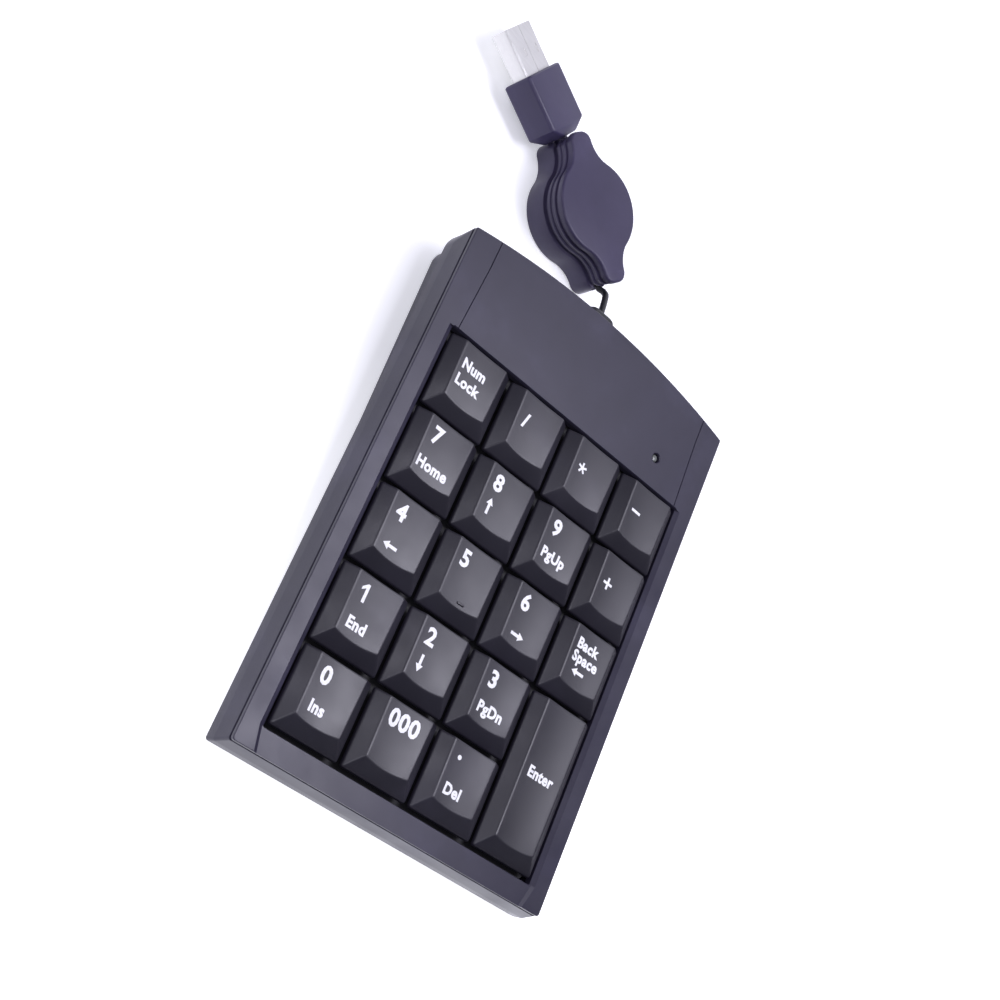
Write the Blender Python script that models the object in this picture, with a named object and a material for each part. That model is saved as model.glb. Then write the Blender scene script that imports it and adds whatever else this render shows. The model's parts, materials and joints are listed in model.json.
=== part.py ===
"""A 19-key numeric keypad whose USB cord winds onto a small spring reel.

Lengths are millimetres until the mesh is made, then metres. The keypad stands on its rubber feet at
z = 0, x to the right, y to the rear. Its deck rises to the rear: the keypad's own pieces are drawn
in the deck's frame, whose origin is the middle of the key field on the deck's surface.
"""
import math

import bmesh
import bpy
from mathutils import Vector

MM = 0.001
GAP = 0.3                      # left between pieces that touch

# deck and housing, in the deck's frame
DECK_TILT = math.radians(3.3)
DECK_HEIGHT = 12.5             # deck origin above the table
DECK_SHIFT = -11.57            # deck origin from the middle of the keypad's length
DECK_HALF_WIDTH = 43.5
DECK_FRONT = -53.4
DECK_REAR_CORNER = 71.5
REAR_BOW = 4.3                 # the rear edge bows out by this much
WALL_FLARE = 0.9               # the walls lean out from the deck to the crease
WALL = 1.8
CREASE_Z = -5.2
COVER_BOTTOM_Z = -8.5
RAIL_RISE = 0.4                # the side rails stand above the deck
RAIL_X = 38.6
RAIL_SLOPE = 0.6
DECK_PLATE = 2.0
FRONT_CORNER = 0.7
REAR_CORNER_TOP = 0.7
REAR_CORNER_BOTTOM = 6.5

# bottom case
CASE_CLEARANCE = 0.9           # underside above the table
CASE_FLOOR = 1.5
CASE_WALL = 1.5
CASE_LIP_Z = -6.6
RIB_TOP_Z = -7.35
FOOT_RADIUS = 4.2
FOOT_RECESS = 0.5
FOOT_PLACES = {"foot_front_left": (-32.5, -56.0), "foot_front_right": (32.5, -56.0),
               "foot_rear_left": (-34.0, 50.0), "foot_rear_right": (34.0, 50.0)}

# keys
PITCH = 19.05
TRAVEL = 2.0
WELL_HALF = (38.3, 48.2)
KEY_HALF = 9.0
KEY_BASE_Z = -0.8
KEY_TOP_Z = 2.3
KEY_DISH = 0.4
KEY_CEILING_Z = 1.0
KEY_STRIPS = 6
STEM_HALF = (3.0, 2.25)
STEM_BOTTOM_Z = -3.8
KEYS = {"key_num_lock": (0, 0, 1), "key_divide": (1, 0, 1),
        "key_multiply": (2, 0, 1), "key_minus": (3, 0, 1),
        "key_7": (0, 1, 1), "key_8": (1, 1, 1), "key_9": (2, 1, 1), "key_plus": (3, 1, 1),
        "key_4": (0, 2, 1), "key_5": (1, 2, 1), "key_6": (2, 2, 1), "key_backspace": (3, 2, 1),
        "key_1": (0, 3, 1), "key_2": (1, 3, 1), "key_3": (2, 3, 1), "key_enter": (3, 3, 2),
        "key_0": (0, 4, 1), "key_000": (1, 4, 1), "key_decimal": (2, 4, 1)}

# key frame, domes and membranes: (lower, upper) heights in the deck's frame
FRAME_PLATE = (-3.9, -3.1)
CHIMNEY = (-4.2, -1.3)
CHIMNEY_WALL = 1.0
DOME_SHEET = (-6.15, -5.9)
DOME_TOP_Z = -4.1
DOME_RADII = (4.6, 2.0)
DOME_SIDES = 10
MEMBRANES = {"membrane_top": (-6.5, -6.35), "membrane_spacer": (-6.8, -6.65),
             "membrane_bottom": (-7.1, -6.95)}

# electronics, under the panel behind the keys
PCB = (-22.0, 30.0, 53.0, 67.0, -6.05, -4.85)
LED_PLACE = (26.7, 55.6)
LED_RADIUS = 1.0
LED_HOLE = 1.3
CLAMP_BAR = (-20.0, 20.0, 54.0, 58.5, -9.2, -7.4)
CLAMP_SCREWS = (-17.0, 17.0)

# screws: x, y, boss radius, underside of the cover's boss
CASE_SCREWS = {"case_screw_front_left": (-38.9, -50.0, 2.4, -6.3),
               "case_screw_front_right": (38.9, -50.0, 2.4, -6.3),
               "case_screw_rear_left": (-35.0, 62.0, 3.2, -9.2),
               "case_screw_rear_right": (35.0, 62.0, 3.2, -9.2)}
SCREW_RADIUS = 0.9
SCREW_HEAD = (1.8, 1.1)
COUNTERBORE = 2.2

# cord and its gland
CORD_RADIUS = 0.8
GLAND_X = -0.8
GLAND_Z = -5.0
GLAND_HALF = (4.2, 2.2)
GLAND_NECK_HALF = (3.0, 1.4)

# reel, standing on the table
REEL_PLACE = (-13.3, 91.1)
REEL_ANGLE = math.radians(135.5)
REEL_RADIUS = 12.0
REEL_TAB = (3.4, 18.6)         # half width and reach of the two mouths
REEL_FILLET = 8.0
REEL_CORNER = 2.6              # of the mouths' ends
REEL_HEIGHT = 13.1
REEL_GROOVE = 0.7
REEL_PLATE = 1.5
REEL_CAVITY = (10.3, 2.1)      # radius and half width of the mouths inside
SPOOL_RADIUS = 9.8
SPOOL_HUB = 3.9
SPOOL_Z = (1.9, 2.7, 8.1, 8.9)
AXLE_RADIUS = 1.6
COIL = (4.2, 9.4, 3.0, 7.8)    # inner and outer radius, lower and upper face
SPRING_Z = (9.3, 10.8)
SPRING_TURNS = 5
SPRING_RADII = (2.6, 8.8)
SPRING_THICKNESS = 0.35

# plug: the tip's middle, and how it lies
PLUG_TIP = (-51.3, 118.3, 6.35)
PLUG_ANGLE = math.radians(150.3)
PLUG_ROLL = math.radians(12.8)
SHELL_HALF = (6.0, 2.25)
SHELL_WALL = 0.3
SHELL_LENGTH = 11.8
SHELL_SOCKET = 4.0
GRIP_HALF = (8.0, 4.0)
GRIP_LENGTH = 14.5
GRIP_END_HALF = (3.2, 3.2)
GRIP_NECK_HALF = (1.2, 1.7)


def make_material(name, colour, roughness, metallic=0.0):
    material = bpy.data.materials.new(name)
    material.use_nodes = True
    shader = material.node_tree.nodes["Principled BSDF"]
    shader.inputs["Base Color"].default_value = (*colour, 1.0)
    shader.inputs["Roughness"].default_value = roughness
    shader.inputs["Metallic"].default_value = metallic
    return material


def make_materials():
    return {
        "housing": make_material("housing_plastic", (0.095, 0.09, 0.13), 0.5),
        "keycap": make_material("keycap_plastic", (0.07, 0.07, 0.085), 0.5),
        "inner": make_material("inner_plastic", (0.03, 0.03, 0.035), 0.6),
        "rubber": make_material("black_rubber", (0.02, 0.02, 0.022), 0.8),
        "silicone": make_material("dome_silicone", (0.55, 0.55, 0.55), 0.6),
        "film": make_material("membrane_film", (0.55, 0.6, 0.6), 0.3),
        "board": make_material("circuit_board", (0.02, 0.12, 0.05), 0.4),
        "steel": make_material("plated_steel", (0.6, 0.6, 0.62), 0.3, 1.0),
        "gold": make_material("contact_gold", (0.8, 0.6, 0.25), 0.3, 1.0),
        "white": make_material("white_plastic", (0.75, 0.75, 0.72), 0.5),
        "led": make_material("led_lens", (0.35, 0.5, 0.3), 0.2)}


def make_empty(name, place, turn):
    empty = bpy.data.objects.new(name, None)
    empty.location = Vector(place) * MM
    empty.rotation_euler = turn
    bpy.context.scene.collection.objects.link(empty)
    return empty


def make_object(name, points, faces, material, parent, place=(0, 0, 0)):
    """An object from points in millimetres round its own origin, faces turned outwards."""
    mesh = bpy.data.meshes.new(name)
    mesh.from_pydata([Vector(point) * MM for point in points], [], faces)
    shape = bmesh.new()
    shape.from_mesh(mesh)
    bmesh.ops.recalc_face_normals(shape, faces=shape.faces)
    shape.to_mesh(mesh)
    shape.free()
    if material:
        mesh.materials.append(material)
    thing = bpy.data.objects.new(name, mesh)
    thing.parent = parent
    thing.location = Vector(place) * MM
    bpy.context.scene.collection.objects.link(thing)
    return thing


def loft(rings, closed=False):
    """Points and faces of a solid through rings of equally many points, with its two ends capped.
    A closed loft joins the last ring to the first instead."""
    count = len(rings[0])
    points = [point for ring in rings for point in ring]
    faces = []
    for level in range(len(rings) if closed else len(rings) - 1):
        low = level * count
        high = (level + 1) % len(rings) * count
        for i in range(count):
            j = (i + 1) % count
            faces.append((low + i, low + j, high + j, high + i))
    if not closed:
        faces.append(tuple(reversed(range(count))))
        faces.append(tuple(range(len(points) - count, len(points))))
    return points, faces


def at_height(outline, z):
    return [(x, y, z) for x, y in outline]


def prism(outline, low, high):
    return loft([at_height(outline, low), at_height(outline, high)])


def rectangle(x0, x1, y0, y1):
    return [(x0, y0), (x1, y0), (x1, y1), (x0, y1)]


def block(x0, x1, y0, y1, z0, z1):
    return prism(rectangle(x0, x1, y0, y1), z0, z1)


def arc(centre, radius, start, end, steps):
    angles = [start + (end - start) * i / steps for i in range(steps + 1)]
    return [(centre[0] + radius * math.cos(a), centre[1] + radius * math.sin(a)) for a in angles]


def circle(radius, sides, centre=(0, 0)):
    return arc(centre, radius, 0, 2 * math.pi, sides)[:-1]


def rounded_rectangle(half_x, half_y, radius, steps=3):
    quarter = math.pi / 2
    corners = [(1, 1), (-1, 1), (-1, -1), (1, -1)]
    points = []
    for turn, (sx, sy) in enumerate(corners):
        centre = (sx * (half_x - radius), sy * (half_y - radius))
        points += arc(centre, radius, turn * quarter, (turn + 1) * quarter, steps)
    return points


def gather(shapes):
    """Several closed shapes as one set of points and faces, for a Boolean."""
    points, faces = [], []
    for shape_points, shape_faces in shapes:
        start = len(points)
        points += shape_points
        faces += [tuple(start + i for i in face) for face in shape_faces]
    return points, faces


def boolean(thing, operation, shapes, parent):
    """Adds shapes to a thing, or cuts them out of it."""
    name = f"{thing.name}_{operation.lower()}_{len(thing.modifiers)}"
    tool = make_object(name, *gather(shapes), None, parent)
    tool.hide_render = True
    tool.display_type = "WIRE"
    modifier = thing.modifiers.new(name, "BOOLEAN")
    modifier.operation = operation
    modifier.solver = "EXACT"
    modifier.object = tool


def smooth(thing, degrees=35):
    thing.data.shade_smooth()
    thing.data.set_sharp_from_angle(angle=math.radians(degrees))


def body_outline(offset, rear_corner):
    """The housing's plan, moved out by offset: straight front and sides, and a bowed rear edge."""
    half = DECK_HALF_WIDTH + offset
    front = DECK_FRONT - offset
    bow_radius = (half ** 2 + REAR_BOW ** 2) / (2 * REAR_BOW)
    bow_centre = DECK_REAR_CORNER + offset + REAR_BOW - bow_radius
    corner_y = bow_centre + math.sqrt((bow_radius - rear_corner) ** 2 - (half - rear_corner) ** 2)
    turn = math.atan2(corner_y - bow_centre, half - rear_corner)
    quarter = math.pi / 2
    points = arc((-half + FRONT_CORNER, front + FRONT_CORNER), FRONT_CORNER, -2 * quarter, -quarter, 3)
    points += arc((half - FRONT_CORNER, front + FRONT_CORNER), FRONT_CORNER, -quarter, 0, 3)
    points += arc((half - rear_corner, corner_y), rear_corner, 0, turn, 4)
    points += arc((0, bow_centre), bow_radius, turn, math.pi - turn, 12)[1:-1]
    points += arc((-half + rear_corner, corner_y), rear_corner, math.pi - turn, math.pi, 4)
    return points


def underside_z(y, above=0.0):
    """Height of the case's underside in the deck's frame; the underside is level with the table."""
    table = -DECK_HEIGHT / math.cos(DECK_TILT) - y * math.tan(DECK_TILT)
    return table + (CASE_CLEARANCE + above) / math.cos(DECK_TILT)


def level_ring(outline, above):
    return [(x, y, underside_z(y, above)) for x, y in outline]


def key_centre(column, row, rows):
    return (column - 1.5) * PITCH, (2 - row - (rows - 1) / 2) * PITCH


def gland_slot(half_x, low, high):
    return block(GLAND_X - half_x, GLAND_X + half_x, DECK_REAR_CORNER, DECK_REAR_CORNER + 12, low, high)


def make_top_cover(deck, material):
    outer = [at_height(body_outline(WALL_FLARE, REAR_CORNER_BOTTOM), COVER_BOTTOM_Z),
             at_height(body_outline(WALL_FLARE, REAR_CORNER_BOTTOM - 2), CREASE_Z),
             at_height(body_outline(0, REAR_CORNER_TOP), RAIL_RISE)]
    inside = [at_height(body_outline(WALL_FLARE - WALL, REAR_CORNER_BOTTOM - WALL), COVER_BOTTOM_Z - 1),
              at_height(body_outline(WALL_FLARE - WALL, REAR_CORNER_BOTTOM - WALL), CREASE_Z),
              at_height(body_outline(-WALL, REAR_CORNER_BOTTOM - 2 * WALL), -DECK_PLATE)]
    cover = make_object("top_cover", *loft(outer), material, deck)
    boolean(cover, "DIFFERENCE", [loft(inside)], deck)
    bosses = [prism(circle(radius, 12, (x, y)), bottom, -DECK_PLATE + 0.5)
              for x, y, radius, bottom in CASE_SCREWS.values()]
    bosses += [prism(circle(1.9, 12, (x, CLAMP_BAR[2] + 2.2)), PCB[5] + GAP, -DECK_PLATE + 0.5)
               for x in CLAMP_SCREWS]
    boolean(cover, "UNION", bosses, deck)
    low, high = DECK_FRONT - 5, DECK_REAR_CORNER + 12
    channel = [[(side * (RAIL_X + slope), y, z) for side, slope, z in
                ((-1, 0, 0), (1, 0, 0), (1, RAIL_SLOPE * 2, RAIL_RISE * 2), (-1, RAIL_SLOPE * 2, RAIL_RISE * 2))]
               for y in (low, high)]
    well = block(-WELL_HALF[0], WELL_HALF[0], -WELL_HALF[1], WELL_HALF[1], -DECK_PLATE - 1, 1)
    holes = [prism(circle(LED_HOLE, 16, LED_PLACE), -DECK_PLATE - 1, 1),
             gland_slot(GLAND_NECK_HALF[0] + GAP, COVER_BOTTOM_Z - 1, GLAND_Z + GLAND_NECK_HALF[1] + GAP)]
    holes += [prism(circle(SCREW_RADIUS + 0.2, 10, (x, y)), bottom - 1, bottom + 4.2)
              for x, y, radius, bottom in CASE_SCREWS.values()]
    holes += [prism(circle(SCREW_RADIUS + 0.2, 10, (x, CLAMP_BAR[2] + 2.2)), PCB[5] - 1, -DECK_PLATE - 0.2)
              for x in CLAMP_SCREWS]
    boolean(cover, "DIFFERENCE", [loft(channel)], deck)
    boolean(cover, "DIFFERENCE", [well], deck)
    boolean(cover, "DIFFERENCE", holes, deck)


def make_bottom_case(deck, material):
    offset = WALL_FLARE - WALL - GAP
    outer = body_outline(offset, REAR_CORNER_BOTTOM - WALL - GAP)
    inner = body_outline(offset - CASE_WALL, REAR_CORNER_BOTTOM - WALL - GAP - CASE_WALL)
    case = make_object("bottom_case", *loft([level_ring(outer, 0), at_height(outer, CASE_LIP_Z),
                                             at_height(inner, CASE_LIP_Z), level_ring(inner, CASE_FLOOR)]),
                       material, deck)
    additions = []
    for y in (-PITCH, 0, PITCH, 2 * PITCH):
        rib = rectangle(-33, 33, y - 0.6, y + 0.6)
        additions.append(loft([level_ring(rib, CASE_FLOOR / 2), at_height(rib, RIB_TOP_Z)]))
    for name, (x, y, radius, bottom) in CASE_SCREWS.items():
        if y > 0:
            post = circle(radius, 12, (x, y))
            additions.append(loft([level_ring(post, CASE_FLOOR / 2), at_height(post, bottom - GAP)]))
    boolean(case, "UNION", additions, deck)
    boolean(case, "DIFFERENCE", [gland_notch()], deck)
    bores = []
    heads = []
    for x, y, radius, bottom in CASE_SCREWS.values():
        seat = underside_z(y, CASE_FLOOR - 0.6 if y < 0 else 2.2)
        bores.append(prism(circle(SCREW_RADIUS + 0.4, 12, (x, y)), underside_z(y) - 1, bottom + 0.5))
        heads.append(prism(circle(COUNTERBORE, 16, (x, y)), underside_z(y) - 1, seat))
    boolean(case, "DIFFERENCE", bores, deck)
    boolean(case, "DIFFERENCE", heads, deck)
    recesses = [prism(circle(FOOT_RADIUS + GAP, 20, place), 0, CASE_CLEARANCE + FOOT_RECESS)
                for place in FOOT_PLACES.values()]
    boolean(case, "DIFFERENCE", recesses, None)


def gland_notch():
    """Room in the case's lip for the gland's inner flange and the cord."""
    reach = GLAND_HALF[0] + GAP
    return block(GLAND_X - reach, GLAND_X + reach, DECK_REAR_CORNER - 2, DECK_REAR_CORNER + 12,
                 GLAND_Z - GLAND_HALF[1] - GAP, CASE_LIP_Z + 1)


def make_feet(material):
    for name, place in FOOT_PLACES.items():
        top = CASE_CLEARANCE + FOOT_RECESS - 0.25
        rings = [at_height(circle(FOOT_RADIUS - 0.3, 20), 0), at_height(circle(FOOT_RADIUS, 20), 0.3),
                 at_height(circle(FOOT_RADIUS, 20), top)]
        smooth(make_object(name, *loft(rings), material, None, (*place, 0)))


def key_ring(front_half, rear_half, front, rear, z, dish=0.0, lean=0.0):
    """One level of a keycap: its front edge from left to right, then its rear edge back.
    A dish lowers the middle of both edges, and lean is how far that moves the front edge forward."""
    ring = []
    for i in range(KEY_STRIPS + 1):
        side = 2 * i / KEY_STRIPS - 1
        drop = dish * (1 - side ** 2)
        ring.append((side * front_half, front - lean * drop, z - drop))
    for i in range(KEY_STRIPS + 1):
        side = 1 - 2 * i / KEY_STRIPS
        ring.append((side * rear_half, rear, z - dish * (1 - side ** 2)))
    return ring


def keycap_mesh(rows):
    """A tapered cap with a dished top, hollow below, and the stem that presses its dome."""
    long = KEY_HALF + (rows - 1) * PITCH / 2
    base = KEY_HALF
    rings = [key_ring(6.15, 6.45, -long + 3.7, long - 0.5, KEY_TOP_Z, KEY_DISH, 1.6),
             key_ring(base - 0.25, base - 0.25, -long + 0.25, long - 0.2, 0),
             key_ring(base, base, -long, long, KEY_BASE_Z),
             key_ring(base - 1, base - 1, -long + 1, long - 1, KEY_BASE_Z),
             key_ring(5.6, 5.8, -long + 4.3, long - 1.3, KEY_CEILING_Z),
             key_ring(STEM_HALF[0], STEM_HALF[0], -STEM_HALF[1], STEM_HALF[1], KEY_CEILING_Z),
             key_ring(STEM_HALF[0], STEM_HALF[0], -STEM_HALF[1], STEM_HALF[1], STEM_BOTTOM_Z)]
    points, faces = loft(rings)
    faces = faces[:-2]                       # both ends are joined strip by strip, to follow the dish
    ends = (0, (len(rings) - 1) * 2 * (KEY_STRIPS + 1))
    for start in ends:
        for i in range(KEY_STRIPS):
            across = 2 * KEY_STRIPS + 1 - i
            faces.append((start + i, start + i + 1, start + across - 1, start + across))
    return points, faces


def make_keycaps(deck, material):
    for name, (column, row, rows) in KEYS.items():
        cap = make_object(name, *keycap_mesh(rows), material, deck, (*key_centre(column, row, rows), 0))
        smooth(cap, 20)


def sheet_outline(shrink):
    """The plan shared by the key frame, the dome sheet and the membranes, clear of the front bosses."""
    side, front, rear = 40.6 - shrink, -50.6 + shrink, 49.8 - shrink
    return [(-35.0 + shrink, front), (35.0 - shrink, front), (side, -43.0), (side, rear), (-side, rear),
            (-side, -43.0)]


def each_key():
    return [key_centre(*spot) for spot in KEYS.values()]


def make_key_frame(deck, material):
    frame = make_object("key_frame", *prism(sheet_outline(0), *FRAME_PLATE), material, deck)
    bore = [half + GAP for half in STEM_HALF]
    tubes, bores = [], []
    for x, y in each_key():
        tubes.append(block(x - bore[0] - CHIMNEY_WALL, x + bore[0] + CHIMNEY_WALL,
                           y - bore[1] - CHIMNEY_WALL, y + bore[1] + CHIMNEY_WALL, *CHIMNEY))
        bores.append(block(x - bore[0], x + bore[0], y - bore[1], y + bore[1], CHIMNEY[0] - 1, CHIMNEY[1] + 1))
    boolean(frame, "UNION", tubes, deck)
    boolean(frame, "DIFFERENCE", bores, deck)


def make_dome_sheet(deck, material):
    sheet = make_object("dome_sheet", *prism(sheet_outline(0.6), *DOME_SHEET), material, deck)
    domes, hollows = [], []
    foot, crown = DOME_RADII
    for centre in each_key():
        domes.append(loft([at_height(circle(foot, DOME_SIDES, centre), DOME_SHEET[0] + 0.1),
                           at_height(circle(crown, DOME_SIDES, centre), DOME_TOP_Z)]))
        hollows.append(loft([at_height(circle(foot - 0.6, DOME_SIDES, centre), DOME_SHEET[0] - 0.2),
                             at_height(circle(crown - 0.4, DOME_SIDES, centre), DOME_TOP_Z - 0.7)]))
    boolean(sheet, "UNION", domes, deck)
    boolean(sheet, "DIFFERENCE", hollows, deck)


def make_membranes(deck, material):
    """Three films; a tail runs back under the circuit board, to its contacts."""
    for name, (low, high) in MEMBRANES.items():
        front_left, front_right, right, rear_right, rear_left, left = sheet_outline(0.6)
        tail = [(15.5, rear_right[1]), (15.5, CLAMP_BAR[3]), (-15.5, CLAMP_BAR[3]), (-15.5, rear_right[1])]
        outline = [front_left, front_right, right, rear_right, *tail, rear_left, left]
        make_object(name, *prism(outline, low, high), material, deck)


def make_electronics(deck, materials):
    x0, x1, y0, y1, z0, z1 = PCB
    board = make_object("controller_pcb", *block(*PCB), materials["board"], deck)
    screw_y = CLAMP_BAR[2] + 2.2
    drills = [prism(circle(SCREW_RADIUS + GAP, 10, (x, screw_y)), z0 - 1, z1 + 1) for x in CLAMP_SCREWS]
    boolean(board, "DIFFERENCE", drills, deck)
    bar = make_object("membrane_clamp_bar", *block(*CLAMP_BAR), materials["inner"], deck)
    drills = [prism(circle(SCREW_RADIUS + GAP, 10, (x, screw_y)), CLAMP_BAR[4] - 1, CLAMP_BAR[5] + 1)
              for x in CLAMP_SCREWS]
    boolean(bar, "DIFFERENCE", drills, deck)
    chip_z = z1 + 0.2
    make_object("controller_chip", *block(-8, 5, 60.5, 66, chip_z, chip_z + 1.6), materials["inner"], deck)
    make_object("cable_header", *block(8, 17, 61.5, 66, chip_z, chip_z + 2.4), materials["white"], deck)
    rings = [at_height(circle(1.45, 16), chip_z), at_height(circle(1.45, 16), chip_z + 0.8),
             at_height(circle(LED_RADIUS, 16), chip_z + 0.8), at_height(circle(LED_RADIUS, 16), -0.5),
             at_height(circle(LED_RADIUS * 0.72, 16), -0.1), at_height(circle(LED_RADIUS * 0.3, 16), 0.05)]
    smooth(make_object("num_lock_led", *loft(rings), materials["led"], deck, (*LED_PLACE, 0)))


def make_screw(name, place, head_z, length, parent, material, head=SCREW_HEAD):
    """A pan-head screw driven upwards: its head is below head_z and has a cross recess."""
    head_radius, head_height = head
    shaft = circle(SCREW_RADIUS, 10)
    rings = [at_height(circle(head_radius * 0.8, 10), head_z - head_height),
             at_height(circle(head_radius, 10), head_z - head_height * 0.6),
             at_height(circle(head_radius, 10), head_z), at_height(shaft, head_z),
             at_height(shaft, head_z + length - 0.8),
             at_height(circle(SCREW_RADIUS * 0.4, 10), head_z + length)]
    screw = make_object(name, *loft(rings), material, parent, (*place, 0))
    reach, slot = head_radius * 0.6, 0.22
    bottom = head_z - head_height
    recess = [block(place[0] - reach, place[0] + reach, place[1] - slot, place[1] + slot, bottom - 1, bottom + 0.5),
              block(place[0] - slot, place[0] + slot, place[1] - reach, place[1] + reach, bottom - 1, bottom + 0.5)]
    boolean(screw, "DIFFERENCE", recess[:1], parent)
    boolean(screw, "DIFFERENCE", recess[1:], parent)


def make_case_screws(deck, material):
    for name, (x, y, radius, bottom) in CASE_SCREWS.items():
        seat = underside_z(y, CASE_FLOOR - 0.6 if y < 0 else 2.2)
        make_screw(name, (x, y), seat - 0.1, bottom + 3.6 - seat, deck, material)
    for side, x in zip(("left", "right"), CLAMP_SCREWS):
        make_screw(f"clamp_screw_{side}", (x, CLAMP_BAR[2] + 2.2), CLAMP_BAR[4] - 0.25,
                   -DECK_PLATE - 0.6 - CLAMP_BAR[4], deck, material, (1.7, 0.9))


def wire(name, route, radius, material, parent, sides=2, place=(0, 0, 0)):
    """A round wire or cord through the route's points."""
    curve = bpy.data.curves.new(name, "CURVE")
    curve.dimensions = "3D"
    spline = curve.splines.new("POLY")
    spline.points.add(len(route) - 1)
    for point, (x, y, z) in zip(spline.points, route):
        point.co = (x * MM, y * MM, z * MM, 1)
    curve.bevel_depth = radius * MM
    curve.bevel_resolution = sides
    curve.use_fill_caps = True
    curve.render_resolution_u = 0
    curve.materials.append(material)
    thing = bpy.data.objects.new(name, curve)
    thing.parent = parent
    thing.location = Vector(place) * MM
    bpy.context.scene.collection.objects.link(thing)


def make_enter_stabiliser(deck, material):
    """A sprung wire that keeps the tall key level: a bar on the frame and two arms under the cap.
    Its origin is on the bar, which is its hinge."""
    x, y = key_centre(*KEYS["key_enter"])
    reach, rise, half, bend = 9.0, 2.4, 12.0, 1.4
    corner = arc((bend, half - bend), bend, math.pi, math.pi / 2, 4)
    arm = [(px, py, rise * px / reach) for px, py in corner + [(reach, half)]]
    route = [(px, -py, pz) for px, py, pz in reversed(arm)] + arm
    wire("enter_stabiliser", route, 0.45, material, deck, 1, (x - 6.1, y, -2.3))


def make_gland(deck, material):
    """A rubber grommet with a flange on each side of the rear wall."""
    half, neck = GLAND_HALF, GLAND_NECK_HALF
    wall_out = DECK_REAR_CORNER + REAR_BOW + WALL_FLARE
    wall_in = wall_out - WALL - WALL_FLARE
    levels = [(wall_in - 1.5, half, 1.9), (wall_in - GAP, half, 1.9), (wall_in - GAP, neck, 1.2),
              (wall_out + GAP, neck, 1.2), (wall_out + GAP, half, 1.9), (wall_out + 1.9, half, 1.9),
              (wall_out + 2.6, (half[0] - 0.7, half[1] - 0.7), 1.2)]
    rings = [[(x, y, z) for x, z in rounded_rectangle(*size, radius)] for y, size, radius in levels]
    gland = make_object("cable_gland", *loft(rings), material, deck, (GLAND_X, 0, GLAND_Z))
    bore = [[(x, y, z) for x, z in circle(CORD_RADIUS + GAP, 12, (GLAND_X, GLAND_Z))]
            for y in (wall_in - 5, wall_out + 5)]
    boolean(gland, "DIFFERENCE", [loft(bore)], deck)
    smooth(gland, 30)


def smooth_route(points, step):
    """Points about one step apart on a smooth curve through the given ones."""
    ends = [2 * points[0] - points[1]] + points + [2 * points[-1] - points[-2]]
    route = []
    for a, b, c, d in zip(ends, ends[1:], ends[2:], ends[3:]):
        pieces = max(2, round((c - b).length / step))
        for i in range(pieces):
            t = i / pieces
            route.append(((2 * b) + (c - a) * t + (2 * a - 5 * b + 4 * c - d) * t ** 2
                          + (3 * b - a - 3 * c + d) * t ** 3) / 2)
    return route + [points[-1]]


def deck_point(x, y, z):
    """A point of the deck's frame in the table's."""
    turned_y = y * math.cos(DECK_TILT) - z * math.sin(DECK_TILT)
    turned_z = y * math.sin(DECK_TILT) + z * math.cos(DECK_TILT)
    return Vector((x, turned_y + DECK_SHIFT, turned_z + DECK_HEIGHT))


def reel_point(x, y, z):
    """A point of the reel's frame in the table's."""
    turn = REEL_ANGLE
    return Vector((REEL_PLACE[0] + x * math.cos(turn) - y * math.sin(turn),
                   REEL_PLACE[1] + x * math.sin(turn) + y * math.cos(turn), z))


def make_cord(material):
    """From behind the board, out through the gland and down into the reel's mouth."""
    x = GLAND_X
    inside = [(x - 19, 68.9, -5), (x - 14, 68.8, -5), (x - 9, 68.5, -5), (x - 4.6, 68.6, -5), (x - 1.6, 69.8, -5),
              (x - 0.2, 72.6, -5), (x, 75.9, -5), (x, 79.2, -5)]
    outside = [(-20.6, 0.4, 8.3), (-18.8, 0.4, 6.7), (-16, 0.2, 5.9), (-13, 0.2, 5.7), (-10.6, 0.2, 5.6)]
    points = [deck_point(*point) for point in inside] + [reel_point(*point) for point in outside]
    wire("keypad_cord", smooth_route(points, 1.7), CORD_RADIUS, material, None)


def reel_outline(radius, half_tab, reach, fillet, corner, shrink=0.0):
    """A disc with a mouth at each end of its x axis, the mouths blending into the disc."""
    radius, half_tab, reach, fillet = radius - shrink, half_tab - shrink, reach - shrink, fillet + shrink
    corner = corner - shrink
    centre_y = half_tab + fillet
    centre_x = math.sqrt((radius + fillet) ** 2 - centre_y ** 2)
    lean = math.atan2(centre_y, centre_x)
    quarter = math.pi / 2
    right = arc((reach - corner, half_tab - corner), corner, 0, quarter, 4)
    right += arc((centre_x, centre_y), fillet, -quarter, lean - 2 * quarter, 4)
    upper = right + arc((0, 0), radius, lean, 2 * quarter - lean, 16)[1:-1]
    upper += [(-x, y) for x, y in reversed(right)]
    return upper + [(-x, -y) for x, y in upper]


def reel_ring(shrink, z):
    return at_height(reel_outline(REEL_RADIUS, *REEL_TAB, REEL_FILLET, REEL_CORNER, shrink), z)


def reel_cavity(low, high):
    return prism(reel_outline(*REEL_CAVITY, REEL_TAB[1] + 5, REEL_FILLET + 1.5, 0.4), low, high)


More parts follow.
